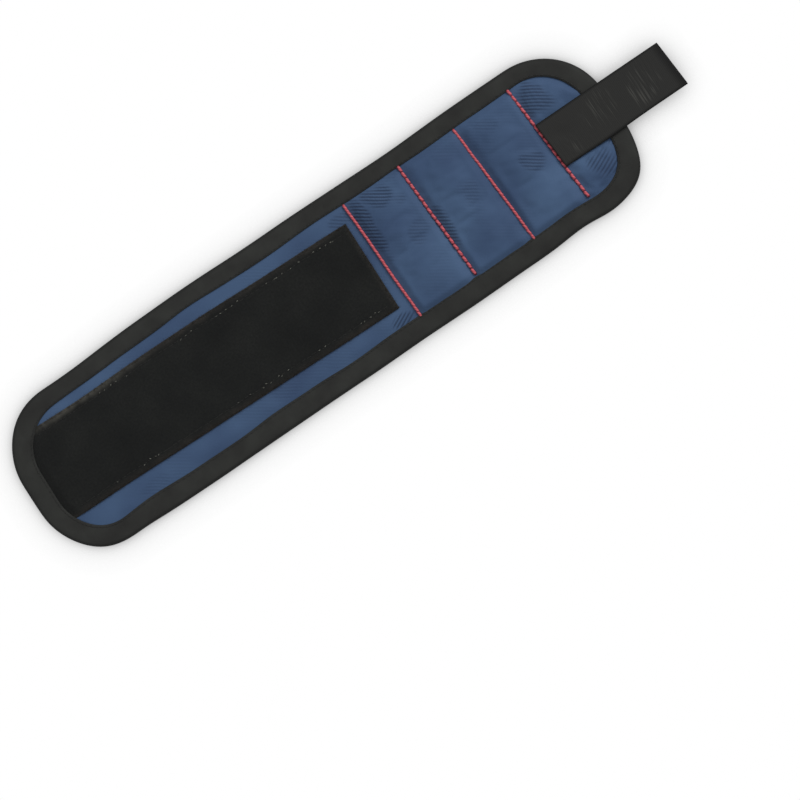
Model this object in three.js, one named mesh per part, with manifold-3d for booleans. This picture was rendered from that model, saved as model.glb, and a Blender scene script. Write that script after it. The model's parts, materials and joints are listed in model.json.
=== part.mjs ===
// Magnetic wristband: a padded band with a twill cover, an air-mesh lining and a bound edge, three
// magnet pockets, a long loop patch on its face, a hook patch on its back and a webbing strap whose
// free tab closes on the loop patch. It lies flat, face up. X runs along the band towards the strap,
// Y across it and Z out of its face. The band is cut into stiff lengths at the lines where it folds.
import * as THREE from 'three';
import { mergeGeometries, mergeVertices } from 'three/addons/utils/BufferGeometryUtils.js';
import Module from 'manifold-3d';

const wasm = await Module();
wasm.setup();

// Band, in millimetres
const BAND_LENGTH = 358;
const BAND_WIDTH = 90;
const CORNER_RADIUS = 36;
const END_FLAT = 1;
const FIT_GAP = 0.3;

// Zones along the band and the lines where it folds
const END_ZONE_LENGTH = 38.7;
const POCKET_LENGTH = 34.4;
const POCKET_COUNT = 3;
const LOOP_LENGTH_COUNT = 5;
const FOLD_TO_SEAM = 1.6;
const FOLD_GAP = 0.4;

// Edge binding
const TAPE_THICKNESS = 0.9;
const BINDING_WIDTH = 10;
const BINDING_ROUND = 1;

// Air-mesh lining with its net of diamond holes
const LINING_BACKING = 1.2;
const NET_PITCH = 10.6;
const NET_ROW = 6.3;
const NET_STRAND = 2.4;
const NET_DEPTH = 1.2;

// Twill cover: how far its faces stand over the lining
const HEM_THICKNESS = 0.5;
const EDGE_PADDING = 1;
const LOOP_ZONE_PADDING = 1.3;
const SEAM_PADDING = 1.7;
const END_ZONE_PADDING = 1.9;
const POCKET_CLOTH = 1;
const CHANNEL_RUN = 4;
const ROLL_RUN = 4.2;
const RUN_STEPS = 4;

// Red thread in the sewn channels
const THREAD_WIDTH = 1.8;
const THREAD_HEIGHT = 0.7;
const THREAD_END_GAP = 1.4;

// Magnets and the foam carriers that hold them in the pockets
const MAGNET_LENGTH = 18;
const MAGNET_WIDTH = 14;
const MAGNET_THICKNESS = 2;
const MAGNET_CORNER = 1.5;
const MAGNETS_PER_POCKET = 3;
const CARRIER_THICKNESS = 2.4;

// Loop patch on the face
const LOOP_PATCH_WIDTH = 51;
const LOOP_PATCH_THICKNESS = 1.8;
const LOOP_PATCH_TO_SEAM = 5.6;
const LOOP_PATCH_SHIFT = 3;
const LOOP_PATCH_TILT_DEG = 1.3;

// Hook patch on the back
const HOOK_PATCH_LENGTH = 54;
const HOOK_PATCH_WIDTH = 50;
const HOOK_PATCH_SHIFT = 2.5;
const HOOK_PATCH_THICKNESS = 1.5;

// Webbing strap with the hook panel under its tab
const STRAP_WIDTH = 26;
const STRAP_THICKNESS = 1.5;
const TAB_REACH = 37;
const TAB_FOLD_GAP = 0.4;
const TAB_BEND_DEG = 40;
const TAB_HOOK_START = 4.5;
const TAB_HOOK_BORDER = 2.6;
const TAB_HOOK_THICKNESS = 1.5;
const TAB_HOOK_CORNER = 0.8;

// Facets
const CURVE_STEPS = 5;
const ROUND_STEPS = 2;

// Places along X
const bandStart = -(BAND_LENGTH + TAB_REACH) / 2;
const bandEnd = bandStart + BAND_LENGTH;
const bandCentre = (bandStart + bandEnd) / 2;
const lastSeam = bandEnd - END_ZONE_LENGTH;
const seams = Array.from(
  { length: POCKET_COUNT + 1 },
  (_, i) => lastSeam - (POCKET_COUNT - i) * POCKET_LENGTH,
);
const loopZoneLength = seams[0] - FOLD_TO_SEAM - bandStart;
const loopFolds = Array.from(
  { length: LOOP_LENGTH_COUNT - 1 },
  (_, i) => bandStart + (loopZoneLength * (i + 1)) / LOOP_LENGTH_COUNT,
);
const folds = [...loopFolds, ...seams.map((seam) => seam - FOLD_TO_SEAM)];

// Levels along Z, from the back of the band to its face
const liningTop = HOOK_PATCH_THICKNESS + FIT_GAP + LINING_BACKING;
const coverBottom = liningTop + FIT_GAP;
const hemTop = coverBottom + HEM_THICKNESS;
const bindingTop = hemTop + FIT_GAP + TAPE_THICKNESS;
const edgeTop = coverBottom + EDGE_PADDING;
const loopZoneTop = coverBottom + LOOP_ZONE_PADDING;
const seamFloor = coverBottom + SEAM_PADDING;
const endZoneTop = coverBottom + END_ZONE_PADDING;
const pocketRoof = coverBottom + Math.max(CARRIER_THICKNESS, MAGNET_THICKNESS) + FIT_GAP;
const pocketTop = pocketRoof + POCKET_CLOTH;
const loopPatchBottom = loopZoneTop + FIT_GAP;
const strapBottom = Math.max(endZoneTop, bindingTop) + FIT_GAP;
const highest = pocketTop + strapBottom;

// Insets from the band's outline
const hemInset = TAPE_THICKNESS + FIT_GAP;
const faceInset = BINDING_WIDTH + FIT_GAP;
const pocketInset = faceInset + ROLL_RUN;
const pocketHalfWidth = BAND_WIDTH / 2 - pocketInset;
const channelReach = THREAD_WIDTH / 2 + CHANNEL_RUN;

function solid(geometry) {
  geometry.deleteAttribute('normal');
  geometry.deleteAttribute('uv');
  const merged = mergeVertices(geometry);
  return new wasm.Manifold(new wasm.Mesh({
    numProp: 3,
    vertProperties: new Float32Array(merged.attributes.position.array),
    triVerts: new Uint32Array(merged.index.array),
  }));
}

function box(x, y, z) {
  const geometry = new THREE.BoxGeometry(x[1] - x[0], y[1] - y[0], z[1] - z[0]);
  geometry.translate((x[0] + x[1]) / 2, (y[0] + y[1]) / 2, (z[0] + z[1]) / 2);
  return solid(geometry);
}

// The corner radius of the band's outline drawn in by an inset
function cornerAt(inset) {
  return Math.min(CORNER_RADIUS - inset, BAND_WIDTH / 2 - inset - END_FLAT);
}

function roundedRectangle(length, width, radius) {
  const shape = new THREE.Shape();
  const x = length / 2 - radius;
  const y = width / 2 - radius;
  shape.absarc(x, y, radius, 0, Math.PI / 2);
  shape.absarc(-x, y, radius, Math.PI / 2, Math.PI);
  shape.absarc(-x, -y, radius, Math.PI, 1.5 * Math.PI);
  shape.absarc(x, -y, radius, 1.5 * Math.PI, 2 * Math.PI);
  return shape;
}

function roundedBlock(length, width, height, radius) {
  return new THREE.ExtrudeGeometry(roundedRectangle(length, width, radius), {
    depth: height,
    bevelEnabled: false,
    curveSegments: ROUND_STEPS,
  });
}

// A plate of the band's outline drawn in by an inset, with rounded rims where a rim is given
function plate(inset, bottom, top, rim = 0) {
  const shape = roundedRectangle(BAND_LENGTH - 2 * inset, BAND_WIDTH - 2 * inset, cornerAt(inset));
  const geometry = new THREE.ExtrudeGeometry(shape, {
    depth: top - bottom - 2 * rim,
    bevelEnabled: rim > 0,
    bevelThickness: rim,
    bevelSize: rim,
    bevelOffset: -rim,
    bevelSegments: ROUND_STEPS,
    curveSegments: CURVE_STEPS,
  });
  geometry.translate(bandCentre, 0, bottom + rim);
  return solid(geometry);
}

// How far a point lies inside the band's outline
function edgeDistance(x, y) {
  const radius = cornerAt(0);
  const overX = Math.abs(x - bandCentre) - (BAND_LENGTH / 2 - radius);
  const overY = Math.abs(y) - (BAND_WIDTH / 2 - radius);
  const outside = Math.hypot(Math.max(overX, 0), Math.max(overY, 0));
  return radius - outside - Math.min(Math.max(overX, overY), 0);
}

// The cover's top: flat zones, rolled down to the binding and drawn into a channel at each seam
function zoneTop(x) {
  if (x < seams[0]) return loopZoneTop;
  return x > lastSeam ? endZoneTop : pocketTop;
}

function coverTop(x, y) {
  const fromSeam = Math.min(...seams.map((seam) => Math.abs(x - seam))) - THREAD_WIDTH / 2;
  const rise = THREE.MathUtils.smoothstep(fromSeam, 0, CHANNEL_RUN);
  const ridge = THREE.MathUtils.lerp(seamFloor, zoneTop(x), rise);
  const roll = THREE.MathUtils.smoothstep(edgeDistance(x, y) - faceInset, 0, ROLL_RUN);
  return THREE.MathUtils.lerp(edgeTop, ridge, roll);
}

function coverCrown() {
  const runs = Array.from({ length: RUN_STEPS + 1 }, (_, i) => i / RUN_STEPS);
  const channel = runs.map((run) => THREAD_WIDTH / 2 + CHANNEL_RUN * run);
  const roll = runs.map((run) => faceInset + ROLL_RUN * run);
  const alongX = [
    bandStart,
    ...roll.map((inset) => bandStart + inset),
    ...seams.flatMap((seam) => channel.flatMap((reach) => [seam - reach, seam + reach])),
    ...roll.map((inset) => bandEnd - inset),
    bandEnd,
  ].sort((a, b) => a - b);
  const halfY = [BAND_WIDTH / 2, ...roll.map((inset) => BAND_WIDTH / 2 - inset), pocketHalfWidth / 2];
  const alongY = [...halfY, ...halfY.map((y) => -y)].sort((a, b) => a - b);
  const stepsX = alongX.length - 1;
  const stepsY = alongY.length - 1;
  const geometry = new THREE.BoxGeometry(1, 1, 1, stepsX, stepsY, 1);
  const points = geometry.attributes.position;
  for (let i = 0; i < points.count; i += 1) {
    const x = alongX[Math.round((points.getX(i) + 0.5) * stepsX)];
    const y = alongY[Math.round((points.getY(i) + 0.5) * stepsY)];
    points.setXYZ(i, x, y, points.getZ(i) > 0 ? coverTop(x, y) : coverBottom);
  }
  return solid(geometry).intersect(plate(faceInset, 0, highest));
}

// A pocket's hollow, open to the lining
function pocketSpan(index, gap) {
  return [seams[index] + channelReach + gap, seams[index + 1] - channelReach - gap];
}

function pocketHollow(index) {
  return box(pocketSpan(index, 0), [-pocketHalfWidth, pocketHalfWidth], [0, pocketRoof]);
}

// Diamond holes of the net in one length of the lining, clear of its folds, binding and hook patch
function netHoles(from, to) {
  const columns = Math.max(1, Math.round((to - from) / NET_PITCH));
  const pitch = (to - from) / columns;
  const rows = Math.floor(BAND_WIDTH / 2 / NET_ROW);
  const halfX = (pitch - NET_STRAND) / 2;
  const halfY = NET_ROW - NET_STRAND / 2;
  const holes = [];
  for (let row = -rows; row <= rows; row += 1) {
    const y = row * NET_ROW;
    const odd = Math.abs(row % 2);
    for (let column = 0; column < columns - odd; column += 1) {
      const x = from + pitch * (column + (1 + odd) / 2);
      const corners = [[x - halfX, y], [x, y + halfY], [x + halfX, y], [x, y - halfY]];
      const inLining = corners.every(([cx, cy]) => edgeDistance(cx, cy) > faceInset + NET_STRAND / 2);
      const clearOfPatch = x + halfX < hookPatchStart - NET_STRAND / 2
        || Math.abs(y - HOOK_PATCH_SHIFT) > HOOK_PATCH_WIDTH / 2 + halfY + NET_STRAND / 2;
      if (inLining && clearOfPatch) {
        const shape = new THREE.Shape(corners.map(([cx, cy]) => new THREE.Vector2(cx, cy)));
        const hole = new THREE.ExtrudeGeometry(shape, { depth: 2 * NET_DEPTH, bevelEnabled: false });
        holes.push(hole.translate(0, 0, -NET_DEPTH));
      }
    }
  }
  return holes;
}

// The stiff lengths, from the free loop end to the strap end
const lengthNames = [
  ...loopFolds.map((_, i) => `loop_${LOOP_LENGTH_COUNT - i}`),
  'loop_1',
  ...seams.slice(1).map((_, i) => `pocket_${i + 1}`),
  'end_zone',
];
const lengths = lengthNames.map((name, i) => ({
  name,
  group: new THREE.Group(),
  from: i === 0 ? bandStart : folds[i - 1] + FOLD_GAP / 2,
  to: i === folds.length ? bandEnd : folds[i] - FOLD_GAP / 2,
}));
const lengthOf = Object.fromEntries(lengths.map((length) => [length.name, length]));

const twill = { color: 0x3f5376, roughness: 0.85, metalness: 0 };
const airMesh = { color: 0x2b2c2b, roughness: 0.95, metalness: 0 };
const bindingTape = { color: 0x2a2a2a, roughness: 0.8, metalness: 0 };
const loopPile = { color: 0x1d1e1e, roughness: 1, metalness: 0 };
const hookTape = { color: 0x3a3b3a, roughness: 0.6, metalness: 0 };
const webbing = { color: 0x2b2b2a, roughness: 0.8, metalness: 0 };
const redThread = { color: 0xc83e48, roughness: 0.7, metalness: 0 };
const foam = { color: 0xd8d6cf, roughness: 1, metalness: 0 };
const ferrite = { color: 0x55565a, roughness: 0.45, metalness: 0.6 };

function addMesh(length, name, geometry, finish) {
  const mesh = new THREE.Mesh(geometry, new THREE.MeshStandardMaterial(finish));
  mesh.name = name;
  length.group.add(mesh);
  return mesh;
}

function addSolid(length, name, body, finish) {
  const { vertProperties, triVerts } = body.getMesh();
  const geometry = new THREE.BufferGeometry();
  geometry.setAttribute('position', new THREE.BufferAttribute(vertProperties, 3));
  geometry.setIndex(new THREE.BufferAttribute(triVerts, 1));
  geometry.computeVertexNormals();
  return addMesh(length, name, geometry, finish);
}

function slab(length, y = [-BAND_WIDTH, BAND_WIDTH]) {
  const from = length === lengths[0] ? bandStart - BAND_WIDTH : length.from;
  const to = length === lengths.at(-1) ? bandEnd + BAND_WIDTH : length.to;
  return box([from, to], y, [-highest, 2 * highest]);
}

// Hook patch, let into the lining, from the binding back across the last fold
const hookPatchEnd = bandEnd - faceInset;
const hookPatchStart = hookPatchEnd - HOOK_PATCH_LENGTH;

function hookPatchBlock(gap) {
  const halfWidth = HOOK_PATCH_WIDTH / 2 + gap;
  return box(
    [hookPatchStart - gap, hookPatchEnd + gap],
    [HOOK_PATCH_SHIFT - halfWidth, HOOK_PATCH_SHIFT + halfWidth],
    [-gap, HOOK_PATCH_THICKNESS + gap],
  );
}

const hookPatch = hookPatchBlock(0).intersect(plate(faceInset, -highest, highest));

// Layers over the whole band
const binding = plate(0, 0, bindingTop, BINDING_ROUND)
  .subtract(plate(BINDING_WIDTH, -highest, highest))
  .subtract(plate(TAPE_THICKNESS, TAPE_THICKNESS, bindingTop - TAPE_THICKNESS));

const net = solid(mergeGeometries(lengths.flatMap(({ from, to }) => netHoles(from, to))));
const lining = plate(faceInset, 0, liningTop)
  .add(plate(hemInset, hemInset, liningTop))
  .subtract(hookPatchBlock(FIT_GAP))
  .subtract(net);

let cover = coverCrown().add(plate(hemInset, coverBottom, hemTop));
for (let i = 0; i < POCKET_COUNT; i += 1) {
  cover = cover.subtract(pocketHollow(i));
}

// Loop patch, laid a little askew from the free end's binding to just short of the first seam
const loopPatchStart = bandStart + faceInset;
const loopPatchEnd = seams[0] - LOOP_PATCH_TO_SEAM;
const loopPatchGeometry = new THREE.BoxGeometry(
  2 * (loopPatchEnd - loopPatchStart),
  LOOP_PATCH_WIDTH,
  LOOP_PATCH_THICKNESS,
);
loopPatchGeometry.rotateZ(-THREE.MathUtils.degToRad(LOOP_PATCH_TILT_DEG));
loopPatchGeometry.translate(
  (loopPatchStart + loopPatchEnd) / 2,
  LOOP_PATCH_SHIFT,
  loopPatchBottom + LOOP_PATCH_THICKNESS / 2,
);
const loopPatch = solid(loopPatchGeometry)
  .intersect(box([bandStart, loopPatchEnd], [-BAND_WIDTH, BAND_WIDTH], [0, highest]))
  .intersect(plate(faceInset, 0, highest));

// Cut the layers into their lengths
for (const length of lengths) {
  const cut = slab(length);
  addSolid(length, `cover_${length.name}`, cover.intersect(cut), twill);
  addSolid(length, `lining_${length.name}`, lining.intersect(cut), airMesh);
  if (length === lengths[0] || length === lengths.at(-1)) {
    addSolid(length, `binding_${length.name}`, binding.intersect(cut), bindingTape);
  } else {
    const upper = slab(length, [0, BAND_WIDTH]);
    const lower = slab(length, [-BAND_WIDTH, 0]);
    addSolid(length, `binding_upper_${length.name}`, binding.intersect(upper), bindingTape);
    addSolid(length, `binding_lower_${length.name}`, binding.intersect(lower), bindingTape);
  }
  if (length.name.startsWith('loop')) {
    addSolid(length, length.name.replace('loop', 'loop_patch'), loopPatch.intersect(cut), loopPile);
  }
}
const lastPocket = lengthOf[`pocket_${POCKET_COUNT}`];
addSolid(lastPocket, 'hook_patch_inner', hookPatch.intersect(slab(lastPocket)), hookTape);
addSolid(lengthOf.end_zone, 'hook_patch_outer', hookPatch.intersect(slab(lengthOf.end_zone)), hookTape);

// Red thread: each seam lies just past a fold, on the length that follows it
const threadLength = BAND_WIDTH - 2 * (faceInset + THREAD_END_GAP);
seams.forEach((seam, i) => {
  const length = lengths[lengths.length - seams.length + i];
  const bar = roundedBlock(THREAD_WIDTH, threadLength, THREAD_HEIGHT, THREAD_WIDTH / 3);
  addMesh(length, `red_seam_${i + 1}`, bar, redThread).position.set(seam, 0, seamFloor + FIT_GAP);
});

// Magnets in the windows of their carriers
const carrierWidth = 2 * (pocketHalfWidth - FIT_GAP);
const magnetPitch = carrierWidth / MAGNETS_PER_POCKET;
for (let i = 0; i < POCKET_COUNT; i += 1) {
  const length = lengthOf[`pocket_${i + 1}`];
  const span = pocketSpan(i, FIT_GAP);
  const centre = (span[0] + span[1]) / 2;
  const carrierTop = coverBottom + CARRIER_THICKNESS;
  let carrier = box(span, [-carrierWidth / 2, carrierWidth / 2], [coverBottom, carrierTop]);
  for (let j = 0; j < MAGNETS_PER_POCKET; j += 1) {
    const y = magnetPitch * (j - (MAGNETS_PER_POCKET - 1) / 2);
    const window = roundedBlock(
      MAGNET_LENGTH + 2 * FIT_GAP,
      MAGNET_WIDTH + 2 * FIT_GAP,
      CARRIER_THICKNESS + 2 * FIT_GAP,
      MAGNET_CORNER + FIT_GAP,
    );
    carrier = carrier.subtract(solid(window.translate(centre, y, coverBottom - FIT_GAP)));
    const magnet = roundedBlock(MAGNET_LENGTH, MAGNET_WIDTH, MAGNET_THICKNESS, MAGNET_CORNER);
    addMesh(length, `magnet_${i + 1}_${j + 1}`, magnet, ferrite).position.set(centre, y, coverBottom);
  }
  addSolid(length, `magnet_carrier_${i + 1}`, carrier, foam);
}

// Strap: sewn down over the end zone and the binding, then a free tab past the band's end. It folds at
// its top face, where both parts end in a slant that leaves room for the tab to bend down.
const strapTop = strapBottom + STRAP_THICKNESS;
const foldSlant = STRAP_THICKNESS * Math.tan(THREE.MathUtils.degToRad(TAB_BEND_DEG / 2));

function strapPart(outerEnd, foldEnd, slant) {
  const profile = new THREE.Shape([
    new THREE.Vector2(outerEnd, strapBottom),
    new THREE.Vector2(foldEnd + slant, strapBottom),
    new THREE.Vector2(foldEnd, strapTop),
    new THREE.Vector2(outerEnd, strapTop),
  ]);
  const geometry = new THREE.ExtrudeGeometry(profile, { depth: STRAP_WIDTH, bevelEnabled: false });
  return geometry.rotateX(Math.PI / 2).translate(0, STRAP_WIDTH / 2, 0);
}

const strapStart = lastSeam + THREAD_WIDTH / 2 + FIT_GAP;
const strapBase = strapPart(strapStart, bandEnd - TAB_FOLD_GAP / 2, -foldSlant);
addMesh(lengthOf.end_zone, 'strap_base', strapBase, webbing);

const tab = { group: new THREE.Group() };
const strapTab = strapPart(bandEnd + TAB_REACH, bandEnd + TAB_FOLD_GAP / 2, foldSlant);
addMesh(tab, 'strap_tab', strapTab, webbing);

const tabHookLength = TAB_REACH - TAB_HOOK_START - TAB_HOOK_BORDER;
const tabHookWidth = STRAP_WIDTH - 2 * TAB_HOOK_BORDER;
const tabHook = roundedBlock(tabHookLength, tabHookWidth, TAB_HOOK_THICKNESS, TAB_HOOK_CORNER);
addMesh(tab, 'strap_tab_hook', tabHook, hookTape).position.set(
  bandEnd + TAB_HOOK_START + tabHookLength / 2,
  0,
  strapBottom - FIT_GAP - TAB_HOOK_THICKNESS,
);

const wristband = new THREE.Group();
wristband.add(...lengths.map((length) => length.group), tab.group);

export default wristband;
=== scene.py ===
import json
import math
import random
from functools import partial

import bmesh
import bpy
from mathutils import Matrix, Vector, noise

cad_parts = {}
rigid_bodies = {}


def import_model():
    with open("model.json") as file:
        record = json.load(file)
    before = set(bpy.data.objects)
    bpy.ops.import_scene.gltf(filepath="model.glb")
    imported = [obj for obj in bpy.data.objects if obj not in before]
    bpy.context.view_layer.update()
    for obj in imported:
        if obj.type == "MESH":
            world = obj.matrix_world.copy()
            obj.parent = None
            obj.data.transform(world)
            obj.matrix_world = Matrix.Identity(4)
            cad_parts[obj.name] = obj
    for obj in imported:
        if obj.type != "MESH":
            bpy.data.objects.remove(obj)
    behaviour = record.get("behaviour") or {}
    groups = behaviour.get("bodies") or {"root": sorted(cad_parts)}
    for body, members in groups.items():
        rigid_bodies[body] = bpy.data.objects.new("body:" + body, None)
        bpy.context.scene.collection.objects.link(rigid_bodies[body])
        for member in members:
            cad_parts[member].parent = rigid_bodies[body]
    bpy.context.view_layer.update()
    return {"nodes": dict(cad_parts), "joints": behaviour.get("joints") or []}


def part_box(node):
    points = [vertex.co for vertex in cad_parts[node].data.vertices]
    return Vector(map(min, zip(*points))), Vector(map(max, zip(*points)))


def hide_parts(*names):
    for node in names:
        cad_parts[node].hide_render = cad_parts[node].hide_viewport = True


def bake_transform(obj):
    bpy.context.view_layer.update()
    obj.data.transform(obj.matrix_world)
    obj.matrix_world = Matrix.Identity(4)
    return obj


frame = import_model()
scene = bpy.context.scene
mm = 0.001
dice = random.Random(11)

# The band's plan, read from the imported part. Shapes are drawn in millimetres and scaled at the end.
band = {
    "start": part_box("binding_loop_5")[0].x / mm,
    "end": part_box("binding_end_zone")[1].x / mm,
    "halfWidth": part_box("binding_loop_5")[1].y / mm,
    "corner": 36,
    "loopReach": 12.5, "pocketReach": 9,  # half the length of cloth that takes part in a fold
    "flap": {"share": 1.02, "lower": 0.09, "freeEnd": 0.07, "reach": 40},  # how wide the binding is sewn
}
lengths = ["loop_5", "loop_4", "loop_3", "loop_2", "loop_1", "pocket_1", "pocket_2", "pocket_3", "end_zone"]
seams = [sum(c.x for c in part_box(f"red_seam_{i}")) / 2 / mm for i in (1, 2, 3, 4)]
seamSlants = [0.015, 0.03, 0.045, 0.055]  # each seam was sewn a little askew

folds = []
for left, right in zip(lengths, lengths[1:]):
    joint = next(j for j in frame["joints"] if {j["parent"], j["child"]} == {left, right})
    reach = band["loopReach" if right.startswith("loop") else "pocketReach"]
    folds.append({"left": left, "right": right, "x": joint["pos_m"][0] / mm, "reach": reach})
cuts = [(a["x"] + b["x"]) / 2 for a, b in zip(folds, folds[1:])]
bandMiddle = (band["start"] + band["end"]) / 2
bandHalf = (band["end"] - band["start"]) / 2
print("band", round(2 * bandHalf, 1), "mm, folds", [round(f["x"], 1) for f in folds])


def smooth(value, low, high):
    t = min(max((value - low) / (high - low), 0), 1)
    return t * t * (3 - 2 * t)


def mix(a, b, share):
    return a + (b - a) * share


# Unevenness of a size in millimetres, and the same times a height
def ripple(x, y, size, seed):
    return noise.noise(Vector((x / size, y / size, seed)))


def wave(x, y, height, size, seed):
    return height * ripple(x, y, size, seed)


# How far a point lies past the straight sides, along and across, less than 0 between the corners
def pastCorner(x, y):
    overX = abs(x - bandMiddle) - (bandHalf - band["corner"])
    overY = abs(y) - (band["halfWidth"] - band["corner"])
    return overX, overY


# How far a point lies inside the band's edge
def edgeInset(x, y):
    overX, overY = pastCorner(x, y)
    outside = math.hypot(max(overX, 0), max(overY, 0))
    return band["corner"] - outside - min(max(overX, overY), 0)


# The binding is sewn a little wider along the lower side and round the free end
def flapShare(x, y):
    flap = band["flap"]
    freeEnd = smooth(-x, -band["start"] - flap["reach"], -band["start"])
    return flap["share"] - flap["lower"] * y / band["halfWidth"] * (1 - freeEnd) + flap["freeEnd"] * freeEnd


def inside(x, y):
    return edgeInset(x, y) / flapShare(x, y)


def seamAt(i, y):
    return seams[i] - seamSlants[i] * y


def fromSeams(x, y):
    return min(abs(x - seamAt(i, y)) for i in range(4))


# Cloth is never quite straight: the sewing pulls the band out of true by a millimetre or two
sewing = {
    "sway": (0.2, 55, 4.2), "breadth": (0.006, 30, 8.6), "creep": (0.2, 40, 2.7),  # height, size, seed
    "pulls": [  # x, y, reach, shift in x and y
        (149, -34, 16, 2.4, -2.3), (113, -44, 15, 0, 1.7), (-152, 46, 30, 0.5, -1.8), (-72, 46, 30, 0, 0.8),
        (-186, 24, 20, 1.0, -0.6), (-176, -36, 14, -0.6, -0.8), (-160, -46, 16, 0, 0.9), (50, 46, 24, 0, -0.9),
    ],
}


def settle(bm):
    for v in bm.verts:
        x, y = v.co.x, v.co.y
        v.co.y += wave(x, 0, *sewing["sway"]) + y * wave(x, 0, *sewing["breadth"])
        v.co.x += wave(0, y, *sewing["creep"])
        for px, py, reach, dx, dy in sewing["pulls"]:
            share = math.exp(-((x - px) ** 2 + (y - py) ** 2) / reach ** 2)
            v.co.x += dx * share
            v.co.y += dy * share


def setAll(thing, settings):
    for key, value in settings.items():
        setattr(thing, key, value)


def linear(text):
    parts = [int(text[i:i + 2], 16) / 255 for i in (1, 3, 5)]
    return tuple(c / 12.92 if c <= 0.04045 else ((c + 0.055) / 1.055) ** 2.4 for c in parts) + (1,)


# An input is a value, a colour as hex, "rest" for a cloth's flat cut, which its UV map holds in metres,
# the name of a vertex attribute, a socket, or a node for its first output
def addNode(tree, kind, inputs, **settings):
    node = tree.nodes.new("ShaderNode" + kind)
    setAll(node, settings)
    for key, value in inputs.items():
        if value == "rest":
            value = addNode(tree, "UVMap", {}, uv_map=value)
        elif isinstance(value, str) and value[0] != "#":
            value = addNode(tree, "Attribute", {}, attribute_name=value).outputs["Fac"]
        if isinstance(value, bpy.types.Node):
            value = next(output for output in value.outputs if output.enabled)
        if isinstance(value, bpy.types.NodeSocket):
            tree.links.new(value, node.inputs[key])
        else:
            node.inputs[key].default_value = linear(value) if isinstance(value, str) else value
    return node


# A material from a function that adds its nodes and gives its shader back
def newMaterial(name, shade, *values):
    material = bpy.data.materials.new(name)
    material.use_nodes = True
    material.node_tree.nodes.clear()
    add = partial(addNode, material.node_tree)
    add("OutputMaterial", {"Surface": shade(add, *values)})
    return material


# Inputs of a noise and of a wave texture, from the real size of a cell or a band in millimetres
def cellsOf(size):
    return {"Vector": "rest", "Scale": 1 / (size * mm)}


def bandsOf(size):
    return {"Vector": "rest", "Scale": math.pi / 10 / (size * mm)}


# Colours laid one over another, each by its own share, on a surface with a fine relief in millimetres
def layered(add, colour, layers, relief, surface, **settings):
    for share, over in layers:
        colour = add("Mix", {"Factor": share, "A": colour, "B": over}, data_type="RGBA")
    height, strength, depth = relief
    bump = add("Bump", {"Height": height, "Strength": strength, "Distance": depth * mm}, **settings)
    return add("BsdfPrincipled", {"Base Color": colour, "Normal": bump, **surface})


# Blue polyester twill: matt woven cloth, with painted shade down in the grooves where its diagonal rib is drawn up
def shadeTwill(add):
    look = {
        "blue": "#344663", "pale": "#435977", "grooveShade": "#192133", "cloud": 38,
        "thread": 0.9,  # threads are nearer 0.4 mm, drawn coarser so that they show
    }
    cloud = add("TexNoise", {**cellsOf(look["cloud"]), "Detail": 2, "Roughness": 0.45})
    tone = add("MapRange", {"Value": cloud, "From Min": 0.32, "From Max": 0.68})
    thread = add("TexNoise", {**cellsOf(look["thread"]), "Detail": 1})
    # The ribs' depth lays a painted shade into the grooves
    layers = [(tone, look["pale"]), ("ribs", look["grooveShade"])]
    return layered(add, look["blue"], layers, (thread, 0.35, 0.16), {
        "Roughness": 0.75, "Specular IOR Level": 0.14, "Sheen Weight": 0.04, "Sheen Roughness": 0.5,
    })


# Black binding tape: close woven polyester folded over the edge, soft satin, fine ribs across it, and painted shade
# along its rounded outer edge
def shadeBinding(add):
    look = {
        "black": "#1F1F1E", "worn": "#2B2C2A", "fold": "#131313", "crease": "#3C3D3B",
        "patch": 14, "grain": 0.7, "gather": 1.5, "rib": 0.8,  # ribs drawn twice as wide as real ones
    }
    patch = add("TexNoise", {**cellsOf(look["patch"]), "Detail": 3})
    tone = add("MapRange", {"Value": patch, "From Min": 0.3, "From Max": 0.7})
    across = add("SeparateXYZ", {"Vector": "rest"}).outputs["Y"]
    # Painted shade along the tape's rounded outer edge, darkest right at the fold
    fromFold = add("Math", {0: across}, operation="ABSOLUTE")
    folded = add("MapRange", {
        "Value": fromFold, "From Min": 0.1 * mm, "From Max": 2.2 * mm, "To Min": 0.85, "To Max": 0,
    }, interpolation_type="SMOOTHSTEP")
    ribs = add("TexWave", {
        **bandsOf(look["rib"]), "Distortion": 0.8, "Detail": 1,
    }, bands_direction="X").outputs["Fac"]
    grain = add("TexNoise", {**cellsOf(look["grain"]), "Detail": 2})
    height = add("Math", {0: ribs, 1: 0.5, 2: grain}, operation="MULTIPLY_ADD")
    gathers = add("TexWave", {
        **bandsOf(look["gather"]), "Distortion": 4, "Detail": 2, "Detail Scale": 0.2,
    }, bands_direction="X").outputs["Fac"]
    crease = add("Math", {0: gathers, 1: "gathered"}, operation="MULTIPLY")
    height = add("Math", {0: crease, 1: 4, 2: height}, operation="MULTIPLY_ADD")
    layers = [(tone, look["worn"]), (folded, look["fold"]), (crease, look["crease"])]
    return layered(add, look["black"], layers, (height, 0.3, 0.1), {
        "Roughness": 0.7, "Specular IOR Level": 0.14, "Sheen Weight": 0.03, "Sheen Roughness": 0.4,
    })


# Sewing thread: twisted polyester, a little shiny, its stripes along the twist a painted highlight over a darker
# shaded colour, and painted shade where it goes into the cloth
def shadeThread(add, pale, dark):
    look = {"deep": "#4A1222", "twist": 0.9}  # one turn of the ply, drawn coarser than real
    ply = add("TexWave", {
        **bandsOf(look["twist"]), "Distortion": 0.4,
    }, bands_direction="DIAGONAL").outputs["Fac"]
    # The pale stripes along the ply are painted highlight, the darker colour under them painted shade, and the deep
    # colour at the rim painted shade where the thread goes in
    layers = [(ply, pale), ("rim", look["deep"])]
    return layered(add, dark, layers, (ply, 0.4, 0.12), {"Roughness": 0.55, "Specular IOR Level": 0.2})
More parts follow.
